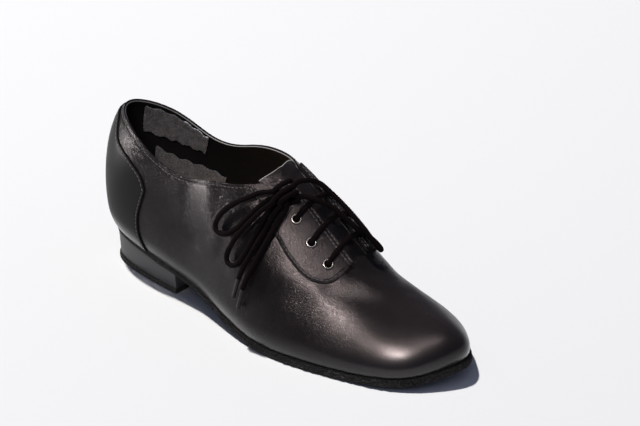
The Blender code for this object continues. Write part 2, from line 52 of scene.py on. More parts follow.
FLOOR_WHITE = (0.80, 0.81, 0.82, 1.0)
SKY = (0.62, 0.69, 1.0, 1.0)
SKY_STRENGTH = 0.16


def bearing(turn, rise):
    """The direction from the shoe to something seen at that turn and rise, in degrees."""
    turn, rise = math.radians(turn), math.radians(rise)
    level = math.cos(rise)
    return Vector((math.sin(turn) * level, -math.cos(turn) * level, math.sin(rise)))


def place_in_scene(name, data):
    made = bpy.data.objects.new(name, data)
    bpy.context.scene.collection.objects.link(made)
    return made


back = bearing(VIEW_TURN, VIEW_RISE)
camera = place_in_scene("camera", bpy.data.cameras.new("camera"))
camera.data.lens = VIEW_LENS
camera.data.sensor_width = VIEW_SENSOR
camera.location = VIEW_AIM + back * VIEW_DISTANCE
camera.rotation_mode = "QUATERNION"
camera.rotation_quaternion = back.to_track_quat("Z", "Y")
bpy.context.scene.camera = camera
bpy.context.scene.view_settings.view_transform = "Standard"

sky = bpy.data.worlds.new("sky")
sky.use_nodes = True
sky.node_tree.nodes["Background"].inputs["Color"].default_value = SKY
sky.node_tree.nodes["Background"].inputs["Strength"].default_value = SKY_STRENGTH
bpy.context.scene.world = sky


def soft_light(name, turn, rise, distance, wide, tall, power, colour, gloss):
    """An oval area light that faces the shoe, either for its gloss alone or for all but that."""
    lamp = place_in_scene(name, bpy.data.lights.new(name, "AREA"))
    lamp.data.shape = "ELLIPSE"
    lamp.data.size = wide
    lamp.data.size_y = tall
    lamp.data.energy = power
    lamp.data.color = colour
    lamp.location = bearing(turn, rise) * distance
    lamp.rotation_mode = "QUATERNION"
    lamp.rotation_quaternion = bearing(turn, rise).to_track_quat("Z", "Y")
    lamp.visible_glossy = gloss
    lamp.visible_diffuse = not gloss


# Each light's name, turn and rise in degrees, distance, width and height in metres, power in
# watts, colour, and whether its gloss alone counts
LIGHTS = (
    ("key_light", -92.0, 68.0, 5.0, 0.23, 0.23, 276.0, (1.0, 0.975, 0.94), False),
    ("vamp_box", 21.0, 48.0, 2.2, 0.75, 0.24, 168.0, (1.0, 0.92, 0.88), True),
    ("eyestay_box", 56.0, 62.0, 2.2, 0.60, 0.60, 18.0, (1.0, 0.92, 0.90), True),
    ("quarter_box", -63.0, 5.0, 2.0, 0.38, 0.38, 46.0, (1.0, 0.96, 0.94), True),
)
for light in LIGHTS:
    soft_light(*light)


class Field:
    """One output of a material's node, with which sums are written as Python expressions."""

    def __init__(self, tree, socket=None):
        self.tree = tree
        self.socket = socket

    def node(self, kind, settings=None, sockets=None, output=0):
        """Adds a node: first its settings, then the values or links of its sockets."""
        made = self.tree.nodes.new(kind)
        for name, value in (settings or {}).items():
            setattr(made, name, value)
        for name, value in (sockets or {}).items():
            if isinstance(value, Field):
                self.tree.links.new(value.socket, made.inputs[name])
            else:
                made.inputs[name].default_value = value
        return Field(self.tree, made.outputs[output])

    def math(self, operation, *values):
        return self.node("ShaderNodeMath", {"operation": operation}, dict(enumerate(values)))

    def __add__(self, other):
        return self.math("ADD", self, other)

    def __sub__(self, other):
        return self.math("SUBTRACT", self, other)

    def __rsub__(self, other):
        return self.math("SUBTRACT", other, self)

    def __mul__(self, other):
        return self.math("MULTIPLY", self, other)

    def eased(self, low, high):
        """0 below low, 1 above high, and smooth between them."""
        limits = {"Value": self, "From Min": low, "From Max": high}
        return self.node("ShaderNodeMapRange", {"interpolation_type": "SMOOTHSTEP"}, limits)

    def tint(self, dark, light):
        """A colour between two, by this value."""
        colours = {0: self, 6: (*dark, 1.0), 7: (*light, 1.0)}
        return self.node("ShaderNodeMix", {"data_type": "RGBA"}, colours, 2)

    def noise(self, scale, detail=2.0, roughness=0.5, output="Fac"):
        """Noise at this place, with a scale in features a metre."""
        sockets = {"Vector": self, "Scale": scale, "Detail": detail, "Roughness": roughness}
        return self.node("ShaderNodeTexNoise", None, sockets, output)

    def bump(self, depth):
        """A normal from this height, which is worth a depth in metres."""
        return self.node("ShaderNodeBump", None, {"Height": self, "Distance": depth}, "Normal")


def new_finish(name, constants):
    """A material with constant sockets set, a function that feeds a socket, and its coordinates."""
    made = bpy.data.materials.new(name)
    made.use_nodes = True
    shader = made.node_tree.nodes["Principled BSDF"]
    for socket, value in constants.items():
        shader.inputs[socket].default_value = value

    def feed(socket, field):
        made.node_tree.links.new(field.socket, shader.inputs[socket])

    place = Field(made.node_tree).node("ShaderNodeTexCoord", output="Object")
    return made, feed, place


floor_finish, feed, place = new_finish(
    "floor_white", {"Base Color": FLOOR_WHITE, "Specular IOR Level": 0.05}
)
feed("Roughness", place.noise(6.0) * 0.1 + 0.8)
half = FLOOR_SIZE / 2
floor_mesh = bpy.data.meshes.new("floor")
floor_mesh.from_pydata(
    [(-half, -half, 0), (half, -half, 0), (half, half, 0), (-half, half, 0)], [], [(0, 1, 2, 3)]
)
floor_mesh.materials.append(floor_finish)
place_in_scene("floor", floor_mesh)

# Upper. Soft black leather, cut as a vamp and two quarters and drawn over a last, whose surface
# every piece here is measured on. Section runs round the foot from the heel, 0, up the outer side
# to the toe, 10, and back to 20, and height from the sole's edge, 0, to the crown, 1.
ORIGIN = np.array([-0.13944, 0.00351, 0.0])
LENGTH = 0.285
BALL_WIDTH = 0.0994
INSTEP = 0.1014
HEEL_HEIGHT = 0.0252
GAP = 0.0003
WALL = 0.0018
LAST_COLUMNS = ("along", "near", "far", "lift", "thick", "edge", "belly_out", "belly_up",
                "crown_at", "crown_side", "crown_high", "roof_out")
LAST = np.array([
    (0.020, 0.000, 0.000, 0.883, 0.0026, -0.0010, 0.098, 0.230, 0.142, 0.000, 1.140, 0.541),
    (0.045, -0.195, 0.220, 0.870, 0.0026, -0.0010, 0.094, 0.226, 0.188, 0.000, 1.120, 0.474),
    (0.155, -0.297, 0.325, 0.762, 0.0026, -0.0010, 0.080, 0.230, 0.248, 0.000, 1.100, 0.378),
    (0.296, -0.337, 0.331, 0.528, 0.0030, -0.0010, 0.068, 0.224, 0.320, 0.000, 1.110, 0.350),
    (0.392, -0.390, 0.295, 0.361, 0.0032, -0.0006, 0.067, 0.220, 0.418, 0.000, 1.105, 0.365),
    (0.537, -0.490, 0.366, 0.044, 0.0038, 0.0002, 0.060, 0.207, 0.521, 0.000, 0.995, 0.360),
    (0.654, -0.496, 0.415, 0.000, 0.0040, 0.0008, 0.042, 0.170, 0.648, 0.021, 0.725, 0.309),
    (0.764, -0.438, 0.430, 0.000, 0.0040, 0.0010, 0.029, 0.136, 0.748, 0.036, 0.512, 0.262),
    (0.886, -0.329, 0.408, 0.067, 0.0040, 0.0010, 0.025, 0.120, 0.812, 0.043, 0.422, 0.244),
    (0.955, -0.150, 0.266, 0.170, 0.0040, 0.0010, 0.023, 0.115, 0.866, 0.050, 0.382, 0.234),
    (0.987, 0.090, 0.090, 0.280, 0.0040, 0.0010, 0.025, 0.118, 0.895, 0.054, 0.366, 0.246),
])
TOE = 10
TURN = 20
THROAT = 6.6
SLOT_START = 4.4
SLOT_HALF_WIDTH = 0.0070
SLOT_MIDDLE = 0.0035
CROWN_PANEL = 0.86
COLLAR_NEAR = (0.725, 0.715, 0.635, 0.610, 0.672, 0.865, 1.250)
COLLAR_FAR = (0.725, 0.660, 0.566, 0.645, 0.740, 0.900, 1.200)


def unit(vectors):
    return vectors / np.linalg.norm(vectors, axis=-1, keepdims=True)


def both_sides(values):
    """Values from heel to toe, carried on down the inner side."""
    values = np.asarray(values)
    return np.concatenate([values, values[-2:0:-1]])


def around(column):
    return both_sides(LAST[:, LAST_COLUMNS.index(column)])


def closed_spline(values):
    """A smooth closed curve that takes each value at its whole number."""
    values = np.asarray(values, float)
    count = len(values)
    index = np.arange(count)
    matrix = np.zeros((count, count))
    matrix[index, index] = 4
    matrix[index, (index + 1) % count] = 1
    matrix[index, index - 1] = 1
    turned = np.roll(values, -1, 0) - 2 * values + np.roll(values, 1, 0)
    bend = np.linalg.solve(matrix, 6 * turned)

    def at(where):
        where = np.mod(np.asarray(where, float), count)
        low = np.floor(where).astype(int) % count
        high = (low + 1) % count
        part = where - np.floor(where)
        if values.ndim > 1:
            part = part[..., None]
        rest = 1 - part
        line = values[low] * rest + values[high] * part
        return line + (rest**3 - rest) * bend[low] / 6 + (part**3 - part) * bend[high] / 6

    return at


side_y = np.where(np.arange(TURN) <= TOE, around("near"), around("far")) * BALL_WIDTH
seat = around("lift") * HEEL_HEIGHT + around("thick") + GAP
feather_rows = np.stack([around("along") * LENGTH, side_y, seat], 1)
run = np.roll(feather_rows, -1, 0) - np.roll(feather_rows, 1, 0)
outward = unit(np.stack([run[:, 1], -run[:, 0], 0 * run[:, 0]], 1))
UP = np.array([0.0, 0.0, 1.0])
belly_run = outward * around("belly_out")[:, None] * BALL_WIDTH
belly_rows = feather_rows + belly_run + UP * around("belly_up")[:, None] * INSTEP
crown_rows = np.stack(
    [around("crown_at") * LENGTH, around("crown_side") * BALL_WIDTH, around("crown_high") * INSTEP], 1
)
slope = both_sides(np.gradient(crown_rows[: TOE + 1, 2], crown_rows[: TOE + 1, 0]))
roof_run = outward * around("roof_out")[:, None] * BALL_WIDTH
roof_rows = crown_rows + roof_run + UP * (slope * roof_run[:, 0])[:, None]
feather, belly, roof, crown = map(closed_spline, (feather_rows, belly_rows, roof_rows, crown_rows))
collar_near = closed_spline(both_sides(COLLAR_NEAR))
collar_far = closed_spline(both_sides(COLLAR_FAR))


def last_point(section, height):
    section, height = np.broadcast_arrays(np.asarray(section, float), np.asarray(height, float))
    up = height[..., None]
    down = 1 - up
    low = feather(section) * down**3 + 3 * belly(section) * up * down**2
    return low + 3 * roof(section) * up**2 * down + crown(section) * up**3


def last_normal(section, height, step=0.001):
    section, height = np.broadcast_arrays(np.asarray(section, float), np.asarray(height, float))
    forward = last_point(section + step, height) - last_point(section - step, height)
    above = last_point(section, np.minimum(height + step, 1))
    below = last_point(section, np.maximum(height - step, 0))
    return unit(np.cross(forward, above - below))


def over_last(section, height, lift):
    """A point that stands a distance off the last, in the shoe's own frame."""
    standing = last_normal(section, height) * np.asarray(lift)[..., None]
    return last_point(section, height) + standing + ORIGIN


def walked(points):
    """How far along a run each of its points lies."""
    return np.concatenate([[0], np.cumsum(np.linalg.norm(np.diff(points, axis=0), axis=1))])


def smooth_run(points, count, between=24):
    """Points spaced evenly along a smooth open curve through a route's own points."""
    points = np.asarray(points, float)
    padded = np.concatenate([[2 * points[0] - points[1]], points, [2 * points[-1] - points[-2]]])
    part = np.linspace(0, 1, between, endpoint=False)[:, None]
    dense = []
    for before, start, end, after in zip(padded, padded[1:], padded[2:], padded[3:]):
        bend = 2 * before - 5 * start + 4 * end - after
        twist = 3 * start - before - 3 * end + after
        dense.append(start + 0.5 * part * (end - before + bend * part + twist * part**2))
    dense = np.concatenate([*dense, points[-1:]])
    reached = walked(dense)
    places = np.linspace(0, reached[-1], count)
    return np.stack([np.interp(places, reached, column) for column in dense.T], 1)


def distance_to(points, line):
    """How far each point is from the nearest of a line's points."""
    flat = points.reshape(-1, 3)
    near = np.full(len(flat), np.inf)
    for spot in line:
        np.minimum(near, ((flat - spot) ** 2).sum(1), out=near)
    return np.sqrt(near).reshape(points.shape[:-1])


# Soft creases of a worn upper: depth (up where positive) and width in metres, then the places
# that each runs through
CREASES = (
    (-0.0010, 0.0070, ((6.48, 0.65), (6.72, 0.69), (7.04, 0.73), (7.43, 0.78), (7.89, 0.84))),
    (-0.0006, 0.0060, ((12.10, 0.84), (12.60, 0.74), (13.00, 0.64), (13.30, 0.52))),
    (-0.0008, 0.0045, ((6.66, 0.87), (6.79, 0.93), (7.00, 1.00), (13.11, 0.97))),
    (0.0006, 0.0055, ((7.05, 0.88), (7.36, 0.95), (12.35, 0.97))),
    (0.0011, 0.0070, ((3.80, 0.61), (3.90, 0.54), (4.06, 0.48), (4.26, 0.42))),
    (-0.0006, 0.0070, ((3.14, 0.58), (3.20, 0.49), (3.36, 0.41), (3.61, 0.34))),
    (-0.0003, 0.0070, ((4.41, 0.67), (4.56, 0.60), (4.76, 0.54), (4.99, 0.49))),
    (0.0005, 0.0060, ((5.65, 0.53), (6.00, 0.54), (6.35, 0.58))),
    (-0.0005, 0.0060, ((16.00, 0.62), (15.80, 0.52), (15.70, 0.42))),
    (0.0005, 0.0070, ((16.60, 0.58), (16.50, 0.48), (16.30, 0.38))),
)
CREASE_STEPS = 40
crease_lines = []
for depth, width, route in CREASES:
    line = smooth_run([last_point(*spot) for spot in route], CREASE_STEPS)
    crease_lines.append((depth, width, line))


def relief(points):
    """How far the creases move points of the last along its normal."""
    moved = np.zeros(points.shape[:-1])
    for depth, width, line in crease_lines:
        moved += depth * np.exp(-((distance_to(points, line) / width) ** 2))
    return moved


TUCK_DEPTH = 0.0014
TUCK_HEIGHT = 0.013


def skin(section, height, lift=0.0):
    """A point on the worn upper, or a distance over it, in the shoe's own frame; the wall is drawn
    in where it meets the sole."""
    base = last_point(section, height)
    over_sole = base[..., 2] - feather(section)[..., 2]
    tuck = TUCK_DEPTH * np.clip(1 - over_sole / TUCK_HEIGHT, 0, 1) ** 2
    return base + last_normal(section, height) * (lift + relief(base) - tuck)[..., None] + ORIGIN


def height_beside(section, half_width, lowest=0.3, steps=701):
    """The lowest height at which a rib comes within a distance of the lacing's middle line."""
    shares = np.linspace(lowest, 1.0, steps)
    outside = (SLOT_MIDDLE - last_point(section, shares)[:, 1]) * (1 if section <= TOE else -1)
    inside = outside < half_width
    return shares[np.argmax(inside)] if inside.any() else 1.0


def slot_edge(section):
    """Height of the lacing slot's edge, where there is one."""
    if min(section, TURN - section) < SLOT_START:
        return 1.0
    return height_beside(section, SLOT_HALF_WIDTH)


def top_share(section, corner=0.03):
    """Height of the upper's edge: collar, rounded facing corner and lacing slot."""
    side = collar_near if section <= TOE else collar_far
    collar = float(side(min(section, TURN - section, len(COLLAR_NEAR) - 1)))
    slot = slot_edge(section)
    gap = max(corner - abs(collar - slot), 0) / corner
    return min(collar, slot) - gap * gap * corner / 4


def panel_share(section):
    """Height that divides the vamp's sides from the strip along its crown."""
    ahead = abs(section - TOE) / (TOE - THROAT)
    edge = slot_edge(THROAT if section <= TOE else TURN - THROAT)
    return CROWN_PANEL + (edge - CROWN_PANEL) * ahead


def share_of(section, height, distance, step=0.01):
    """What a distance along a rib is in height."""
    below = last_point(section, np.asarray(height) - step)
    return distance * step / np.linalg.norm(last_point(section, height) - below, axis=-1)


def add_piece(name, points, faces, finish, sharp=40.0):
    """A mesh that rides on the shoe."""
    mesh = bpy.data.meshes.new(name)
    mesh.from_pydata(np.asarray(points).reshape(-1, 3).tolist(), [], faces)
    mesh.shade_smooth()
    mesh.set_sharp_from_angle(angle=math.radians(sharp))
    mesh.materials.append(finish)
    made = place_in_scene(name, mesh)
    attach(made, "root")
    return made


def grid_faces(rows, columns, first=0, wrap=False, closed=False):
    """Faces of rows of points, which may wrap round to the first row, or to the first column."""
    faces = []
    for row in range(rows if wrap else rows - 1):
        here = first + row * columns
        there = first + (row + 1) % rows * columns
        for column in range(columns if closed else columns - 1):
            following = (column + 1) % columns
            faces.append((here + column, there + column, there + following, here + following))
    return faces


def weld(piece, distance):
    """Joins the points of a piece that lie closer together than a distance."""
    shape = bmesh.new()
    shape.from_mesh(piece.data)
    bmesh.ops.remove_doubles(shape, verts=shape.verts, dist=distance)
    shape.to_mesh(piece.data)
    shape.free()


def thicken(piece, thickness, round_edge, segments=3, sharpest=55.0):
    """Gives a surface its wall, inward, and rounds the wall's edges."""
    wall = piece.modifiers.new("wall", "SOLIDIFY")
    wall.thickness = thickness
    wall.offset = -1
    wall.use_even_offset = True
    wall.use_quality_normals = True
    if round_edge:
        edge = piece.modifiers.new("edge", "BEVEL")
        edge.width = round_edge
        edge.segments = segments
        edge.limit_method = "ANGLE"
        edge.angle_limit = math.radians(sharpest)
    return wall


POLISH_HEIGHT = 0.016
SOLE_EDGE_HIGH = 0.0043
HEEL_CLIMB_START = 0.022
HEEL_CLIMB = 0.145
TOE_CLIMB_START = 0.090
TOE_CLIMB = 0.12


def polish_by_sole(place, weight):
    """Polish that fades out over the sole's edge line, which climbs to the heel and to the toe."""
    ahead, up = (place.node("ShaderNodeSeparateXYZ", None, {"Vector": place}, axis) for axis in "XZ")
    heel_climb = place.math("MAXIMUM", HEEL_CLIMB_START - ahead, 0.0) * HEEL_CLIMB
    toe_climb = place.math("MAXIMUM", ahead - TOE_CLIMB_START, 0.0) * TOE_CLIMB
    over_sole = up - (heel_climb + toe_climb + SOLE_EDGE_HIGH)
    return (1 - over_sole.eased(0.0, POLISH_HEIGHT)) * weight


# Features a metre of the leather's drift of the grain, clouds of colour, pores and fine wear
DRIFT, CLOUDS, PORES, WEAR = 300.0, 38.0, 3200.0, 420.0


def leather(name, dark, light, pebble, depth, roughness, gloss=0.20, sheen=(1.0, 1.0, 1.0),
            stretched=None, polish=0.0):
    """Leather: pebble is the size of its grain and depth its relief, in metres; between the two
    places stretched, counted along the shoe, the grain is drawn smooth and the colour made lighter."""
    constants = {"Specular IOR Level": gloss, "Specular Tint": (*sheen, 1.0), "Coat Roughness": 0.2}
    made, feed, place = new_finish(name, constants)
    if polish:
        feed("Coat Weight", polish_by_sole(place, polish))
    drift = place.noise(DRIFT, 1.0, output="Color")
    bent = {0: drift, 1: (pebble, pebble, pebble), 2: place}
    bent = place.node("ShaderNodeVectorMath", {"operation": "MULTIPLY_ADD"}, bent)
    cell = {"Vector": bent, "Scale": 1 / pebble}
    edge = place.node("ShaderNodeTexVoronoi", {"feature": "DISTANCE_TO_EDGE"}, cell, "Distance")
    broad = place.noise(CLOUDS, 2.0)
    pores = place.noise(PORES, 2.0)
    grain = edge.eased(0.0, 0.30) * (broad * 0.9 + 0.35)
    relief_height = grain + pores * 0.12 + place.noise(WEAR, 3.0) * 0.35
    shade = broad * 0.4 + pores * 0.2 + grain * 0.3
    if stretched:
        drawn = place.node("ShaderNodeSeparateXYZ", None, {"Vector": place}, "X").eased(*stretched)
        relief_height = relief_height * (1 - drawn * 0.75)
        shade = shade * 0.7 + drawn * 0.35
    feed("Normal", relief_height.bump(depth))
    feed("Base Color", shade.tint(dark, light))
    feed("Roughness", broad * 0.10 + pores * 0.08 + (roughness - 0.09))
    return made


WARM = (1.0, 0.89, 0.90)
upper_leather = leather(
    "upper_leather", (0.0080, 0.0066, 0.0070), (0.0250, 0.0208, 0.0218), pebble=0.0010, depth=0.000065,
    roughness=0.28, gloss=0.10, sheen=WARM, stretched=(0.055, 0.120), polish=0.9,
)
EDGE_STEPS = np.array([0.0062, 0.0048, 0.0038, 0.0031, 0.0026, 0.0021, 0.0016, 0.0010, 0.0005, 0.0])
QUARTER_RIBS = 120
VAMP_RIBS = 64
EDGE_RIBS = 240
SIDE_STEPS = 40
CROWN_STEPS = 13
WALL_WELD = 0.00003
COLLAR_ROW = 0.0025
GROOVE_DEPTH = 0.00022
GROOVE_WIDTH = 0.0006
quarter_places = np.linspace(0, THROAT, QUARTER_RIBS)
wall_places = np.concatenate([quarter_places, np.linspace(THROAT, TOE, VAMP_RIBS)[1:]])
wall_places = np.concatenate([wall_places, TURN - wall_places[-2:0:-1]])
in_front = (wall_places >= THROAT - 1e-6) & (wall_places <= TURN - THROAT + 1e-6)
wall_tops = np.array([
    panel_share(spot) if ahead else top_share(spot) for spot, ahead in zip(wall_places, in_front)
])
open_places = np.linspace(0, THROAT, EDGE_RIBS)
open_places = np.concatenate([np.linspace(TURN - THROAT, TURN, EDGE_RIBS), open_places[1:]])
open_tops = np.array([top_share(spot) for spot in open_places])
open_edge = last_point(open_places, open_tops)


def upper_wall(name, lift, trim, finish):
    """The upper's wall, or its lining, from the sole's edge to the collar and over the vamp."""
    tops = wall_tops - np.where(in_front, 0, share_of(wall_places, wall_tops, trim))
    inset = share_of(wall_places[:, None], tops[:, None], EDGE_STEPS)
    body = (tops[:, None] - inset[:, :1]) * np.linspace(0, 1, SIDE_STEPS)[:-1]
    height = np.concatenate([body, tops[:, None] - inset], 1)
    base = last_point(wall_places[:, None], height)
    groove = np.exp(-(((distance_to(base, open_edge) - COLLAR_ROW) / GROOVE_WIDTH) ** 2))
    sides = skin(wall_places[:, None], height, lift - GROOVE_DEPTH * groove)
    front, front_tops = wall_places[in_front], tops[in_front][:, None]
    strip = skin(front[:, None], front_tops + (1 - front_tops) * np.linspace(0, 1, CROWN_STEPS), lift)
    faces = grid_faces(len(wall_places), height.shape[1], wrap=True)
    faces += grid_faces(len(front), strip.shape[1], first=height.size)
    points = np.concatenate([sides.reshape(-1, 3), strip.reshape(-1, 3)])
    made = add_piece(name, points, faces, finish)
    weld(made, WALL_WELD)
    return made


LEATHER_WALL = 0.0012
FOLD_ROUND = 0.0004
upper = upper_wall("upper_skin", 0.0, 0.0, upper_leather)
thicken(upper, LEATHER_WALL, FOLD_ROUND)
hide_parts("upper")

# Stitching. Black thread rows hold the folded collar; each stitch is a short raised grain of
# thread that sinks into the leather at both ends and shines a little.
thread, feed, place = new_finish("thread", {"Roughness": 0.6, "Specular IOR Level": 0.2})
feed("Base Color", place.noise(2500.0).tint((0.045, 0.041, 0.041), (0.170, 0.157, 0.155)))
STITCH_LENGTH = 0.0023
STITCH_GAP = 0.0007
STITCH_SINK = 0.0001
STITCH_RINGS = 7
STITCH_SIDES = 6
THREAD_RADIUS = 0.00034
THREAD_WELD = 0.000002
COLLAR_ENDS = (-4.72, 4.66)
COLLAR_STEPS = 500


def along(points):
    """Unit directions along a run of points."""
    return unit(np.gradient(points, axis=0))


def seam_row(section, height, lift, inset=0.0):
    """A row beside a line on the upper, moved sideways over its surface, and its normals."""
    points = skin(section, height, lift)
    normals = last_normal(section, height)
    return points + np.cross(normals, along(points)) * inset, normals


def tube_faces(rings, sides, first=0):
    """Faces of a tube whose rings of points follow each other."""
    faces = []
    for here in range(first, first + (rings - 1) * sides, sides):
        for side in range(sides):
            a, b = here + side, here + (side + 1) % sides
            faces.append((a, b, b + sides, a + sides))
    return faces


def add_stitches(name, rows):
    """Grains of thread along rows of points with normals."""
    bow = np.linspace(0, math.pi, STITCH_RINGS)
    turn = np.linspace(0, 2 * math.pi, STITCH_SIDES, endpoint=False)
    half_length = STITCH_LENGTH / 2
    points, faces = [], []
    for line, normals in rows:
        reached = walked(line)
        middles = np.arange(half_length, reached[-1] - half_length, STITCH_LENGTH + STITCH_GAP)
        columns = np.concatenate([line, along(line), normals], 1)
        spots = np.stack([np.interp(middles, reached, column) for column in columns.T], 1)
        for spot in spots:
            centre, ahead, normal = spot[:3], spot[3:6], spot[6:]
            across = np.cross(normal, ahead)
            spread = np.cos(turn)[None, :, None] * across + np.sin(turn)[None, :, None] * normal
            ring = spread * (np.sin(bow) * THREAD_RADIUS)[:, None, None]
            ring = ring - ahead * (np.cos(bow) * STITCH_LENGTH / 2)[:, None, None] + centre
            faces += tube_faces(STITCH_RINGS, STITCH_SIDES, len(points) * STITCH_RINGS * STITCH_SIDES)
            points.append(ring.reshape(-1, 3))
    weld(add_piece(name, np.concatenate(points), faces, thread, sharp=180.0), THREAD_WELD)


collar_places = np.linspace(*COLLAR_ENDS, COLLAR_STEPS)
collar_heights = np.array([top_share(spot % TURN) for spot in collar_places])
collar_heights -= share_of(collar_places, collar_heights, COLLAR_ROW)
add_stitches("collar_stitches", [seam_row(collar_places, collar_heights, -STITCH_SINK)])

# Lining. Thin black lining leather glued inside the whole upper; its raw edge shows as a pale
# line along the collar.
LINING_GAP = 0.00002
LINING_TRIM = 0.0003
lining_leather = leather(
    "lining_leather", (0.005, 0.0045, 0.0045), (0.009, 0.0082, 0.0082), pebble=0.0009, depth=0.00006,
    roughness=0.62, gloss=0.08,
)
raw_edge, feed, place = new_finish("raw_edge", {"Roughness": 0.85})
feed("Base Color", place.noise(900.0).tint((0.22, 0.213, 0.207), (0.50, 0.485, 0.47)))
lining = upper_wall("lining", -LEATHER_WALL - LINING_GAP, LINING_TRIM, lining_leather)
lining.data.materials.append(raw_edge)
thicken(lining, WALL - LEATHER_WALL, 0).material_offset_rim = 1

# Heel grips. Grey suede, nap side out, glued to the lining inside the quarters so that the heel
# doesn't slip; a lower piece cups the heel.
suede_grey, feed, place = new_finish(
    "grip_suede", {"Roughness": 0.95, "Sheen Weight": 0.5, "Sheen Roughness": 0.5}
)
nap = place.noise(900.0, 4.0, 0.7)
shade = nap.eased(0.40, 0.64) * 0.6 + place.noise(220.0).eased(0.35, 0.65) * 0.4
feed("Base Color", shade.tint((0.05, 0.052, 0.056), (0.66, 0.67, 0.70)))
feed("Normal", nap.bump(0.0008))
GRIP_TOP = ((1.88, 0.560), (1.45, 0.594), (1.05, 0.634), (0.75, 0.660), (0.46, 0.676))
GRIP_LOW = ((1.84, 0.438), (1.45, 0.438), (1.05, 0.448), (0.75, 0.464), (0.52, 0.490))
CUP_TOP = ((2.35, 0.345), (1.95, 0.345), (1.55, 0.335), (1.20, 0.345), (0.80, 0.385))
CUP_LOW = ((2.30, 0.10), (1.95, 0.10), (1.55, 0.10), (1.20, 0.11), (0.80, 0.12))
GRIP_THICKNESS = 0.0007
GRIP_LONG = 150
GRIP_ACROSS = 58
GRIP_FLUFF = 0.00032
CUT_WAVES = 31
CUT_SHIFT = 6
CUT_DEPTH = 0.006
CUT_RAGGED = 0.0012
draw = np.random.default_rng(7)


def add_grip(name, top, low, far):
    """A patch between two edge lines, cut by hand along both, whose nap stands off it."""
    top, low = smooth_run(top, GRIP_LONG), smooth_run(low, GRIP_LONG)
    for edge in (top, low):
        wave = np.sin(np.linspace(0, CUT_WAVES, len(edge)) + draw.uniform(0, CUT_SHIFT)) * CUT_DEPTH
        edge[:, 1] += wave + draw.normal(0, CUT_RAGGED, len(edge))
    share = np.linspace(0, 1, GRIP_ACROSS)[None, :, None]
    spots = low[:, None] + (top - low)[:, None] * share
    section = TURN - spots[..., 0] if far else spots[..., 0]
    fluff = -np.abs(draw.normal(0, GRIP_FLUFF, section.shape))
    points = skin(section, spots[..., 1], -WALL - GRIP_THICKNESS + fluff)
    faces = grid_faces(*section.shape)
    if not far:
        faces = [face[::-1] for face in faces]
    made = add_piece(name, points, faces, suede_grey, sharp=180.0)
    thicken(made, GRIP_THICKNESS, 0).use_even_offset = False


for side in ("near", "far"):
    add_grip("heel_grip_" + side, GRIP_TOP, GRIP_LOW, side == "far")
    add_grip("heel_cup_" + side, CUP_TOP, CUP_LOW, side == "far")

# Tongue. A flap of soft leather under the lacing, stitched below the throat, creased where the
# laces press it, with a raw edge along its free end.
TONGUE_WIDTH = ((4.70, 0.022), (5.20, 0.022), (7.10, 0.016))
TONGUE_END = ((-1.0, 0.07), (-0.5, 0.15), (0.0, 0.13), (0.5, 0.04), (1.0, -0.08))
TONGUE_THICKNESS = 0.0012
TONGUE_FOOT = 7.10
TONGUE_TOP = 4.70
RAW_EDGE_FROM = 4.714
TONGUE_ROWS = 90
TONGUE_HALF = 21
END_SHAPED_FROM = 5.5
END_FADE = 0.8
WRINKLE_DEPTH = 0.00030
WRINKLES_AT = 5.02
WRINKLES_SPREAD = 0.20
CROSS_WAVES = 700
CROSS_BEND = 2.5
BEND_WAVES = 240
SLANT_WAVES = (260, 520)
tongue_leather = leather(
    "tongue_leather", (0.0085, 0.0068, 0.0070), (0.0165, 0.0138, 0.0142), pebble=0.0010, depth=0.00010,
    roughness=0.34, gloss=0.15, sheen=WARM,
)
tongue_rows = np.append(np.linspace(TONGUE_FOOT, RAW_EDGE_FROM, TONGUE_ROWS), TONGUE_TOP)
section, height = [], []
for spot, width in zip(tongue_rows, np.interp(tongue_rows, *zip(*TONGUE_WIDTH))):
    near, far = height_beside(spot, width), height_beside(TURN - spot, width)
    height.append(np.concatenate([np.linspace(near, 1, TONGUE_HALF), np.linspace(1, far, TONGUE_HALF)[1:]]))
    section.append([spot] * TONGUE_HALF + [TURN - spot] * (TONGUE_HALF - 1))
section, height = np.array(section), np.array(height)
end_shift = smooth_run(TONGUE_END, section.shape[1])[:, 1]
end_shift = end_shift * np.clip((END_SHAPED_FROM - tongue_rows[:, None]) / END_FADE, 0, 1) ** 2
section = section + end_shift * np.where(section <= TOE, 1, -1)
base = last_point(section, height)
ahead, aside = base[..., 0], base[..., 1]
slant = aside * SLANT_WAVES[1] + ahead * SLANT_WAVES[0]
wrinkles = np.sin(ahead * CROSS_WAVES + CROSS_BEND * np.sin(aside * BEND_WAVES)) + np.sin(slant)
wrinkles = wrinkles * np.exp(-((tongue_rows[:, None] - WRINKLES_AT) / WRINKLES_SPREAD) ** 2)
depth = -WALL - GAP - WRINKLE_DEPTH * (2 + wrinkles)
points = base + last_normal(section, height) * depth[..., None] + ORIGIN
tongue = add_piece("tongue_flap", points, grid_faces(*section.shape), tongue_leather)
tongue.data.materials.append(raw_edge)
for face in tongue.data.polygons[-section.shape[1] + 1:]:
    face.material_index = 1
thicken(tongue, TONGUE_THICKNESS, 0).material_offset_rim = 1
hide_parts("tongue")
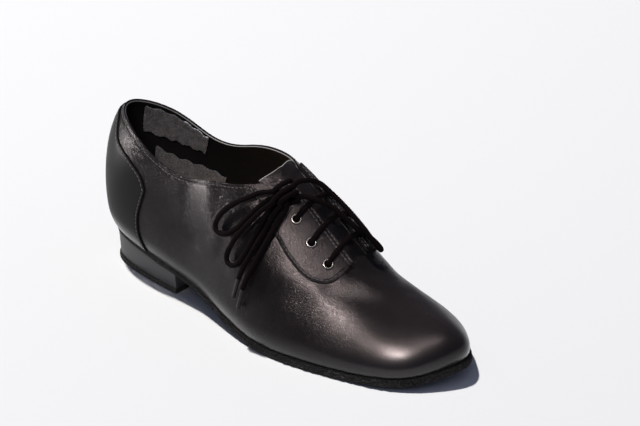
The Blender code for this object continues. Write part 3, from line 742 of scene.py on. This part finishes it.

# Eyestays. A second layer of leather on both sides of the lacing, curved below, with its edge
# turned under and stitched, and two rows of stitches along the facing. The inner one is duller,
# and its darker colour is painted shade.
EYESTAY_SEAM = (
    (4.72, 0.745), (5.08, 0.715), (5.43, 0.650), (5.72, 0.612), (6.05, 0.600),
    (6.33, 0.645), (6.48, 0.710), (6.56, 0.810),
)
EYESTAY_EDGE = (5.00, 6.56)
EYESTAY_MARGIN = 0.006
EYESTAY_LEAST = 0.030
OVERLAY_TOP = 0.0012
OVERLAY_WALL = 0.0009
OVERLAY_ROUND = 0.0003
SEAM_INSET = 0.0018
SEAM_DEPTH = 0.0004
SEAM_WIDTH = 0.0005
SEAM_SINK = 0.0003
SEAM_STEPS = 130
PANEL_STEPS = 14
FINE_STEPS = np.array([0, 0.0004, 0.0008, 0.0012, 0.0016, 0.0020, 0.0026, 0.0034, 0.0044])
FINE_SHARE = 0.45
BEAD_HEIGHT = 0.0004
FACING_ROWS = (0.0014, 0.0038)
FACING_LEAST = 0.0075
stay_leather = {
    "near": leather(
        "eyestay_leather", (0.0150, 0.0120, 0.0128), (0.026, 0.0216, 0.0228), pebble=0.0009,
        depth=0.00009, roughness=0.38, gloss=0.12, sheen=WARM,
    ),
    # The inner eyestay's copy of the leather: its darker colour is painted shade
    "far": leather(
        "eyestay_leather_painted_shade", (0.0110, 0.0090, 0.0095), (0.020, 0.0168, 0.0176), pebble=0.0009,
        depth=0.00009, roughness=0.70, gloss=0.03, sheen=WARM,
    ),
}


def stitch_groove(points, line, inset, depth=GROOVE_DEPTH):
    """How far a row of stitches, an inset away from a line, draws the leather in."""
    return -depth * np.exp(-(((distance_to(points, line) - inset) / SEAM_WIDTH) ** 2))


def turned_edge(points, line, inset):
    """The bead that a folded edge makes beside its row of stitches."""
    bead = stitch_groove(points, line, inset / 2, -BEAD_HEIGHT)
    return bead + stitch_groove(points, line, inset, SEAM_DEPTH)


# Near-black on the rims of the overlays: partly edge dye, partly painted shade at the step where each
# overlay stands on the upper
edge_ink_and_shade, feed, place = new_finish("edge_ink_and_shade", {"Roughness": 0.8, "Specular IOR Level": 0.1})
feed("Base Color", place.noise(800.0).tint((0.0018, 0.0016, 0.0016), (0.0045, 0.004, 0.004)))
eyestays = []
seam = smooth_run(EYESTAY_SEAM, SEAM_STEPS)
facing = np.linspace(*EYESTAY_EDGE, len(seam))
for side in ("near", "far"):
    far = side == "far"
    low_section = TURN - seam[:, 0] if far else seam[:, 0]
    edge_section = TURN - facing if far else facing
    edge_height = np.array([top_share(spot) for spot in edge_section]) - EYESTAY_MARGIN
    low_height = np.minimum(seam[:, 1], edge_height - EYESTAY_LEAST)
    reach = last_point(edge_section, edge_height) - last_point(low_section, low_height)
    reach = np.linalg.norm(reach, axis=1)[:, None]
    start = np.minimum(FINE_STEPS / reach, np.linspace(0, FINE_SHARE, len(FINE_STEPS)))
    inner = start[:, -1:] + (1 - 2 * start[:, -1:]) * np.linspace(0, 1, PANEL_STEPS)[1:-1]
    across = np.concatenate([start, inner, 1 - start[:, ::-1]], 1)
    section = low_section[:, None] + (edge_section - low_section)[:, None] * across
    height = low_height[:, None] + (edge_height - low_height)[:, None] * across
    if far:
        section, height = section[::-1], height[::-1]
    base = last_point(section, height)
    seam_line = last_point(low_section, low_height)
    facing_line = last_point(edge_section, edge_height)
    lift = OVERLAY_TOP + turned_edge(base, seam_line, SEAM_INSET)
    for inset in FACING_ROWS:
        lift = lift + stitch_groove(base, facing_line, inset)
    made = add_piece(
        "eyestay_panel_" + side, skin(section, height, lift), grid_faces(*section.shape),
        stay_leather[side],
    )
    made.data.materials.append(edge_ink_and_shade)
    thicken(made, OVERLAY_WALL, OVERLAY_ROUND).material_offset_rim = 1
    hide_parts("eyestay_" + side)
    eyestays.append(made)
    turn = -1 if far else 1
    wide = reach[:, 0] > FACING_LEAST
    rows = [seam_row(low_section, low_height, OVERLAY_TOP - SEAM_SINK, SEAM_INSET * turn)]
    beside = (edge_section[wide], edge_height[wide], OVERLAY_TOP - STITCH_SINK)
    rows += [seam_row(*beside, -inset * turn) for inset in FACING_ROWS]
    add_stitches("eyestay_stitches_" + side, rows)

# Counter. A heel cover of firm smooth leather over the back of both quarters, waved at the top
# and stitched along its edge.
COUNTER_TOP = ((0.00, 0.690), (0.24, 0.680), (0.36, 0.640), (0.47, 0.600), (0.65, 0.570),
               (0.80, 0.535), (0.92, 0.495), (1.00, 0.440))
COUNTER_FRONT = ((0.00, 2.17), (0.10, 2.10), (0.17, 2.05), (0.26, 2.02), (0.36, 2.04),
                 (0.44, 2.05), (0.70, 2.00))
COUNTER_FOOT = 0.004
COUNTER_ROW = 0.0013
COUNTER_LINE = 120
COUNTER_LONG = 101
COUNTER_HIGH = 40
FINE_FROM = 0.92
FINE_ENDS = 1 - np.array([0.0, 0.008, 0.016, 0.026, 0.038, 0.055])
FINE_TOP = 1 - np.array([0.06, 0.045, 0.032, 0.022, 0.012, 0.0])
RIM_STEPS = 420
counter_leather = leather(
    "counter_leather", (0.0075, 0.0072, 0.0071), (0.0135, 0.0130, 0.0128), pebble=0.0008, depth=0.00002,
    roughness=0.40, gloss=0.06, polish=0.9,
)
counter_top = smooth_run(COUNTER_TOP, COUNTER_LINE)
counter_front = smooth_run(COUNTER_FRONT, COUNTER_LINE)
reach = np.concatenate([-FINE_ENDS, np.linspace(-FINE_FROM, FINE_FROM, COUNTER_LONG), FINE_ENDS[::-1]])
share = np.concatenate([np.linspace(0, FINE_FROM, COUNTER_HIGH), FINE_TOP])
top = np.interp(np.abs(reach), *counter_top.T)
height = COUNTER_FOOT + (top[:, None] - COUNTER_FOOT) * share
section = reach[:, None] * np.interp(height, *counter_front.T)
rim_section = np.concatenate([section[0], section[1:-1, -1], section[-1, ::-1]])
rim_height = np.concatenate([height[0], height[1:-1, -1], height[-1, ::-1]])
rim = smooth_run(np.stack([rim_section, rim_height], 1), RIM_STEPS)
rim_line = last_point(*rim.T)
lift = OVERLAY_TOP + stitch_groove(last_point(section, height), rim_line, COUNTER_ROW)
counter = add_piece(
    "counter_panel", skin(section, height, lift), grid_faces(*section.shape),
    counter_leather,
)
counter.data.materials.append(edge_ink_and_shade)
thicken(counter, OVERLAY_WALL, OVERLAY_ROUND).material_offset_rim = 1
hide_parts("heel_counter")
add_stitches("counter_stitches", [seam_row(*rim.T, OVERLAY_TOP - STITCH_SINK, -COUNTER_ROW)])

# Eyelets. Small dark nickel eyelets, rolled over the leather with a rounded flange, whose holes
# go through eyestay and upper.
EYELETS = ((5.55, 0.810), (5.88, 0.778), (6.25, 0.760))
EYELET_BORE = 0.0020
EYELET_FLANGE = 0.0036
EYELET_SEAT = 0.0013
EYELET_CROWN = 0.0009
EYELET_DEPTH = 0.0010
EYELET_WALL = 0.0003
EYELET_SIDES = 40
ROLL_STEPS = 9
HOLE_RADIUS = EYELET_BORE + 0.0002
HOLE_DEPTH = 0.008
HOLE_SIDES = 32
eyelet_metal, feed, place = new_finish("eyelet_metal", {"Metallic": 1.0})
feed("Base Color", place.noise(700.0).tint((0.055, 0.052, 0.050), (0.10, 0.095, 0.092)))
feed("Roughness", place.noise(1500.0) * 0.2 + 0.18)
roll = np.linspace(0, math.pi, ROLL_STEPS)
middle, half_width = (EYELET_BORE + EYELET_FLANGE) / 2, (EYELET_FLANGE - EYELET_BORE) / 2
flange = [(middle + half_width * math.cos(a), EYELET_SEAT + EYELET_CROWN * math.sin(a)) for a in roll]
barrel = [(EYELET_BORE, -EYELET_DEPTH), (EYELET_BORE + EYELET_WALL, -EYELET_DEPTH)]
profile = np.array(flange + barrel + [(EYELET_BORE + EYELET_WALL, EYELET_SEAT)])
turned = np.linspace(0, 2 * math.pi, EYELET_SIDES, endpoint=False)
lathe = np.stack([
    np.outer(np.cos(turned), profile[:, 0]),
    np.outer(np.sin(turned), profile[:, 0]),
    np.outer(np.ones(len(turned)), profile[:, 1]),
], -1)
points, faces, names = [], [], []
drill = bmesh.new()
for number, (section, height) in enumerate(EYELETS, 1):
    for side in ("near", "far"):
        spot = section if side == "near" else TURN - section
        upright = Vector(last_normal(spot, height)).to_track_quat("Z", "Y").to_matrix().to_4x4()
        stand = Matrix.Translation(Vector(skin(spot, height))) @ upright
        turn = np.array(stand.to_3x3())
        first = len(names) * lathe.shape[0] * lathe.shape[1]
        points.append(lathe.reshape(-1, 3) @ turn.T + np.array(stand.translation))
        faces += grid_faces(lathe.shape[0], lathe.shape[1], first, wrap=True, closed=True)
        names.append(f"eyelet_{side}_{number}")
        bmesh.ops.create_cone(
            drill, cap_ends=True, segments=HOLE_SIDES, radius1=HOLE_RADIUS, radius2=HOLE_RADIUS,
            depth=HOLE_DEPTH, matrix=stand,
        )
eyelets = add_piece("eyelet_rings", np.concatenate(points), faces, eyelet_metal)
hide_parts(*names)
drill_mesh = bpy.data.meshes.new("eyelet_drill")
drill.to_mesh(drill_mesh)
drill.free()
cutter = place_in_scene("eyelet_drill", drill_mesh)
cutter.hide_render = True
for piece in (upper, *eyestays):
    hole = piece.modifiers.new("eyelet_holes", "BOOLEAN")
    hole.operation = "DIFFERENCE"
    hole.object = cutter

# Insole. Vegetable tanned leather under the foot, pale tan, smooth on its grain side. It is cut
# to the last and glued down inside the upper.
INSOLE_THICKNESS = 0.0020
INSOLE_STEPS = 140
insole_leather = leather(
    "insole_leather", (0.30, 0.17, 0.085), (0.48, 0.30, 0.17), pebble=0.0012, depth=0.00006, roughness=0.62
)


def outline(section, overhang, step=0.01):
    """The sole's edge line, moved outward on the level."""
    ahead = feather(np.asarray(section) + step) - feather(np.asarray(section) - step)
    across = unit(np.stack([ahead[..., 1], -ahead[..., 0], 0 * ahead[..., 0]], -1))
    return feather(section) + across * np.asarray(overhang)[..., None]


def half_steps(count):
    """Sections in the middle of equal steps, so that each has a twin across the shoe."""
    return (np.arange(count) + 0.5) * TURN / count


def at_height(points, height):
    """The same ring of points, moved to a height."""
    return np.concatenate([points[:, :2], np.broadcast_to(height, len(points))[:, None]], 1)


def slab(name, rings, finish, sharp=40.0):
    """A solid between stacked rings, top one first, whose ends are closed straight across."""
    count = len(rings[0])
    faces = [face[::-1] for face in tube_faces(len(rings), count)]
    bottom = (len(rings) - 1) * count
    for k in range(count // 2 - 1):
        across = count - 1 - k
        faces.append((k, k + 1, across - 1, across))
        faces.append((bottom + across, bottom + across - 1, bottom + k + 1, bottom + k))
    return add_piece(name, np.concatenate(rings) + ORIGIN, faces, finish, sharp)


spots = half_steps(INSOLE_STEPS)
ring = outline(spots, np.full(len(spots), -WALL - 2 * GAP))
seat_height = feather(spots)[:, 2]
insole = slab(
    "insole_board", [at_height(ring, seat_height + INSOLE_THICKNESS), at_height(ring, seat_height)],
    insole_leather,
)
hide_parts("insole")

# Outsole. One thin bendable layer of chrome suede, cemented on; its cut edge is blacked and its
# fibres stand out from it.
SOLE_STEPS = ((0.00, 0.0009), (0.06, 0.0006), (0.28, 0.0006), (0.34, 0.0002), (0.40, 0.0),
              (0.62, -0.0001), (0.86, 0.0), (0.95, 0.0003), (1.00, 0.0008))
sole_suede, feed, place = new_finish("sole_suede", {"Roughness": 0.97, "Specular IOR Level": 0.08})
nap = place.noise(1100.0, 4.0, 0.75)
fibres = nap.eased(0.52, 0.68) * 0.85 + place.noise(60.0) * 0.15
feed("Base Color", fibres.tint((0.004, 0.004, 0.0042), (0.15, 0.143, 0.14)))
feed("Normal", nap.bump(0.0009))
sole_thickness = closed_spline(around("thick"))
sole_overhang = closed_spline(around("edge"))


def underside(section):
    """Height of the sole's lower edge."""
    return np.maximum(feather(section)[..., 2] - GAP - sole_thickness(section), 0.0)


HEEL_BREAST = 0.270 * LENGTH
SEAT_EXTRA = 0.0008
SEAT_FADE = 0.010
SEAT_CALM = 0.7
EDGE_FUZZ = 0.00032
SOLE_POINTS = 420
spots = half_steps(SOLE_POINTS)
sole_top = feather(spots)[:, 2]
on_heel = np.clip((HEEL_BREAST - feather(spots)[:, 0]) / SEAT_FADE, 0, 1)
sole_low = underside(spots) - SEAT_EXTRA * on_heel
rings = []
for depth, inset in SOLE_STEPS:
    rough = draw.normal(0, EDGE_FUZZ, len(spots)) * (1 - SEAT_CALM * on_heel)
    ring = outline(spots, sole_overhang(spots) - inset + rough)
    rings.append(at_height(ring, sole_top + (sole_low - sole_top) * depth))
outsole = slab("outsole_layer", rings, sole_suede)
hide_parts("outsole")

# Heel. A low block covered in smooth leather, its front face straight, with a suede top piece
# nailed and glued under it.
TOP_PIECE_THICKNESS = 0.0038
HEEL_STEPS = ((0.0, 0.0018), (0.03, 0.0016), (0.25, 0.0018), (0.50, 0.0021), (0.75, 0.0024),
              (0.97, 0.0026), (1.0, 0.0029))
LIFT_STEPS = ((0.0, 0.0022), (0.12, 0.0018), (0.80, 0.0017), (1.0, 0.0021))
LIFT_FUZZ = 0.00008
HEEL_POINTS = 160
HEEL_CORNER = 30.0
BREAST_SEARCH = (2, 4, 2001)
heel_cover = leather(
    "heel_cover", (0.047, 0.0465, 0.049), (0.070, 0.0695, 0.073), pebble=0.0007, depth=0.00002,
    roughness=0.42,
)
ends = np.linspace(*BREAST_SEARCH)
heel_end = float(ends[np.argmax(feather(ends)[:, 0] > HEEL_BREAST)])
heel_spots = np.linspace(-heel_end, heel_end, HEEL_POINTS)


def heel_ring(inset, rough=0.0):
    """The heel's outline with its straight front, set in from the sole's edge line."""
    count = len(heel_spots)
    ring = outline(heel_spots, draw.normal(0, rough, count) - inset)
    ring[0, 0] = ring[-1, 0] = HEEL_BREAST
    return np.roll(ring, count // 2, axis=0)


heel_seat = np.roll(underside(heel_spots), len(heel_spots) // 2) + GAP
heel_foot = TOP_PIECE_THICKNESS - GAP
rings = []
for depth, inset in HEEL_STEPS:
    rings.append(at_height(heel_ring(inset), heel_seat + (heel_foot - heel_seat) * depth))
heel = slab("heel_block", rings, heel_cover, HEEL_CORNER)
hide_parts("heel")
rings = []
for depth, inset in LIFT_STEPS:
    rings.append(at_height(heel_ring(inset, LIFT_FUZZ), TOP_PIECE_THICKNESS * (1 - depth)))
top_piece = slab("heel_lift", rings, sole_suede, HEEL_CORNER)
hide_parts("heel_top_piece")

# Lace. One round braided cotton lace, 3.2 mm thick, laced straight across through three pairs of
# eyelets and tied in a bow, with two loops over the outer side and one over the inner side.
LACE_RADIUS = 0.0017
BRAID_TURNS = 5
BRAID_PITCH = 0.0030
BRAID_DEPTH = 0.10
LACE_SIDES = 20
RING_STEP = 0.00045
FEWEST_RINGS = 8
lace_cotton, feed, place = new_finish("lace_cotton", {"Roughness": 0.9, "Specular IOR Level": 0.02})
fuzz = place.noise(2600.0, 3.0, 0.7)
feed("Base Color", fuzz.tint((0.0022, 0.0010, 0.0013), (0.0090, 0.0048, 0.0056)))
feed("Normal", fuzz.bump(0.00025))


def ring_spaced(path):
    """The same route in equal steps, one for each ring of the cord."""
    return smooth_run(path, max(int(walked(path)[-1] / RING_STEP), FEWEST_RINGS))


def braided(path, radius=LACE_RADIUS, weave=BRAID_DEPTH):
    """Points and faces of a round braided cord along a path, closed at both ends."""
    path = ring_spaced(path)
    ahead = along(path)
    side = np.cross(ahead[0], UP + np.array([0.3, 0.1, 0.0]))
    turn = np.linspace(0, 2 * math.pi, LACE_SIDES, endpoint=False)
    points = []
    for number, (spot, forward) in enumerate(zip(path, ahead)):
        side = unit(side - forward * (side @ forward))
        climb = 2 * math.pi * number * RING_STEP / BRAID_PITCH
        bumps = np.cos(BRAID_TURNS * turn + climb) * np.cos(BRAID_TURNS * turn - climb)
        wide = radius * (1 - weave * (0.5 - 0.5 * bumps))
        sideways = np.outer(np.cos(turn) * wide, side)
        points.append(spot + sideways + np.outer(np.sin(turn) * wide, np.cross(forward, side)))
    faces = tube_faces(len(path), LACE_SIDES)
    last = (len(path) - 1) * LACE_SIDES
    faces.append(tuple(range(LACE_SIDES))[::-1])
    faces.append(tuple(last + k for k in range(LACE_SIDES)))
    return np.concatenate(points), faces, path


BAR_LIFT = 0.0034
BAR_SAG = 0.0004
BAR_FROM = 0.030
BAR_STEPS = 7
BAR_RISE = ((0.0, -0.0012), (0.0, 0.0006), (0.008, 0.0026))
for number, (section, height) in enumerate(EYELETS, 1):
    climb = np.linspace(height + BAR_FROM, 1, BAR_STEPS)
    lift = BAR_LIFT - BAR_SAG * (climb - height) / (1 - height)
    sides = []
    for spot in (section, TURN - section):
        rise = [over_last(spot, height + up, lifted) for up, lifted in BAR_RISE]
        sides.append(np.concatenate([rise, over_last(spot, climb, lift)]))
    points, faces, _ = braided(np.concatenate([sides[0], sides[1][-2::-1]]))
    bar = add_piece(f"lace_row_{number}", points, faces, lace_cotton, sharp=180.0)
    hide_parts(f"lace_bar_{number}")

# The knot and the bow's routes: section, height and distance off the last in metres
KNOT_SPOT = (5.254, 0.853, 0.0062)
KNOT_RADII = np.array([0.0092, 0.0068, 0.0044])
KNOT_REACH = 0.0034
KNOT_STEP = 0.1
STRAND_INSIDE = (1.0, 0.6, 0.2)
LOOP_UPPER = (
    (4.995, 0.778, 0.0057), (4.920, 0.752, 0.0048), (4.770, 0.697, 0.0038), (4.605, 0.643, 0.0036),
    (4.460, 0.590, 0.0036), (4.360, 0.541, 0.0036), (4.320, 0.501, 0.0036), (4.380, 0.480, 0.0036),
    (4.510, 0.487, 0.0036), (4.640, 0.513, 0.0036), (4.760, 0.552, 0.0036), (4.860, 0.599, 0.0036),
    (4.940, 0.648, 0.0037), (5.010, 0.698, 0.0040), (5.070, 0.746, 0.0044),
)
LOOP_LOWER = (
    (5.200, 0.768, 0.0102), (5.160, 0.738, 0.0094), (5.100, 0.696, 0.0082), (5.030, 0.645, 0.0069),
    (4.925, 0.586, 0.0050), (4.810, 0.525, 0.0036), (4.730, 0.470, 0.0036), (4.685, 0.423, 0.0036),
    (4.710, 0.397, 0.0036), (4.805, 0.397, 0.0036), (4.900, 0.418, 0.0036), (4.970, 0.451, 0.0036),
    (5.040, 0.502, 0.0036), (5.090, 0.559, 0.0036), (5.135, 0.624, 0.0037), (5.165, 0.690, 0.0042),
    (5.180, 0.741, 0.0046),
)
END_SHORT = (
    (5.275, 0.746, 0.0054), (5.260, 0.703, 0.0046), (5.230, 0.632, 0.0039), (5.175, 0.562, 0.0036),
    (5.110, 0.493, 0.0036), (5.040, 0.429, 0.0036), (4.980, 0.370, 0.0036),
)
END_LONG = (
    (5.370, 0.756, 0.0058), (5.365, 0.722, 0.0052), (5.355, 0.680, 0.0046), (5.330, 0.628, 0.0040),
    (5.295, 0.569, 0.0036), (5.245, 0.510, 0.0036), (5.190, 0.452, 0.0036), (5.130, 0.393, 0.0036),
    (5.080, 0.338, 0.0036),
)
LOOP_FAR = (
    (5.290, 0.961, 0.0096), (5.340, 0.997, 0.0100), (14.560, 0.977, 0.0104),
    (14.420, 0.967, 0.0110), (14.245, 0.958, 0.0116), (14.055, 0.948, 0.0118),
    (13.860, 0.940, 0.0117), (13.680, 0.932, 0.0112), (13.515, 0.916, 0.0096),
    (13.395, 0.880, 0.0072), (13.350, 0.836, 0.0054), (13.378, 0.794, 0.0044),
    (13.460, 0.768, 0.0041), (13.555, 0.773, 0.0041), (13.625, 0.808, 0.0044),
    (13.650, 0.852, 0.0056), (13.680, 0.893, 0.0068), (13.725, 0.925, 0.0077),
    (13.785, 0.947, 0.0081), (13.875, 0.960, 0.0082), (13.990, 0.971, 0.0082),
    (14.110, 0.983, 0.0082), (14.230, 0.999, 0.0082), (5.670, 0.974, 0.0082), (5.540, 0.939, 0.0082),
)
# Each run's route, and the bearing and tilt in degrees at which it leaves the knot and comes back
LACE_RUNS = {
    "lace_loop_upper": (LOOP_UPPER, (229, -4), (247, -30)),
    "lace_loop_lower": (LOOP_LOWER, (262, 20), (272, -26)),
    "lace_end_short": (END_SHORT, (291, -8), None),
    "lace_end_long": (END_LONG, (313, -8), None),
    "lace_loop_far": (LOOP_FAR, (92, 18), (46, -4)),
}
knot_axis = last_normal(*KNOT_SPOT[:2])
behind, ahead = last_point(KNOT_SPOT[0] + np.array([-KNOT_STEP, KNOT_STEP]), KNOT_SPOT[1])
knot_ahead = ahead - behind
knot_ahead = unit(knot_ahead - knot_axis * (knot_ahead @ knot_axis))
knot_turn = np.stack([knot_ahead, np.cross(knot_axis, knot_ahead), knot_axis], 1)
knot_middle = over_last(*KNOT_SPOT)


def in_knot(points):
    """Points measured from the knot's middle, where they are on the shoe."""
    return np.asarray(points) @ knot_turn.T + knot_middle


def knot_exit(angle, tilt):
    """Where a strand leaves the knot, and a second point straight out from there."""
    angle, tilt = math.radians(angle), math.radians(tilt)
    spot = np.array([math.cos(angle) * math.cos(tilt), math.sin(angle) * math.cos(tilt), math.sin(tilt)])
    straight = unit(spot / KNOT_RADII)
    return [in_knot(spot * KNOT_RADII + straight * reach) for reach in (GAP, KNOT_REACH)]


def eased_run(path, passes=14):
    """A route whose sharpest bends are rounded off as a soft cord rounds them."""
    path = ring_spaced(path)
    for _ in range(passes):
        path[1:-1] = (path[:-2] + 2 * path[1:-1] + path[2:]) / 4
    return path


TIP_LENGTH = 0.0140
TIP_RADIUS = 0.0013
TIP_LEAN = 0.20
TIP_STEPS = 24
tip_plastic, feed, place = new_finish("tip_plastic", {"Roughness": 0.4, "Specular IOR Level": 0.2})
feed("Base Color", place.noise(500.0).tint((0.006, 0.0044, 0.0040), (0.020, 0.0150, 0.0130)))
knot_points, knot_faces = [], []


def add_strand(path):
    """Adds a piece of the lace to the knot."""
    points, faces, _ = braided(path)
    first = sum(len(done) for done in knot_points)
    knot_points.append(points)
    knot_faces.extend(tuple(first + corner for corner in face) for face in faces)


for name, (route, leave, come_back) in LACE_RUNS.items():
    path = knot_exit(*leave) + [over_last(*spot) for spot in route]
    if come_back:
        path += knot_exit(*come_back)[::-1]
    points, faces, path = braided(eased_run(np.array(path)))
    cord = add_piece(name.replace("lace", "bow"), points, faces, lace_cotton, sharp=180.0)
    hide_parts(name)
    tip = ()
    for end in (0, -1) if come_back else (0,):
        add_strand(knot_middle + np.outer(STRAND_INSIDE, path[end] - knot_middle))
    if not come_back:
        ahead = along(path)[-1]
        start = path[-1] + ahead * GAP
        ahead = unit(ahead - last_normal(*route[-1][:2]) * TIP_LEAN)
        tip_path = start + np.outer(np.linspace(0, TIP_LENGTH, TIP_STEPS), ahead)
        points, faces, _ = braided(tip_path, TIP_RADIUS, weave=0.0)
        tip = [add_piece(name.replace("lace_end", "bow_tip"), points, faces, tip_plastic)]
        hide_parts(name.replace("end", "tip"))

KNOT_BEARING = math.radians(-15)
COIL_TURN = 6 * math.pi
COIL_STEPS = 90
COIL_LENGTH = 0.0125
COIL_WIDTH = 0.0062
COIL_HEIGHT = 0.0040
wrap = np.linspace(0, COIL_TURN, COIL_STEPS)
wrap_along = np.array([math.cos(KNOT_BEARING), math.sin(KNOT_BEARING), 0.0])
wrap_across = np.array([-math.sin(KNOT_BEARING), math.cos(KNOT_BEARING), 0.0])
coil = np.outer((wrap / COIL_TURN - 0.5) * COIL_LENGTH, wrap_along)
coil = coil + np.outer(np.cos(wrap) * COIL_WIDTH, wrap_across)
coil = coil + np.outer(np.sin(wrap) * COIL_HEIGHT, UP)
add_strand(in_knot(coil))
knot = add_piece("bow_knot", np.concatenate(knot_points), knot_faces, lace_cotton, sharp=180.0)
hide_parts("lace_knot")
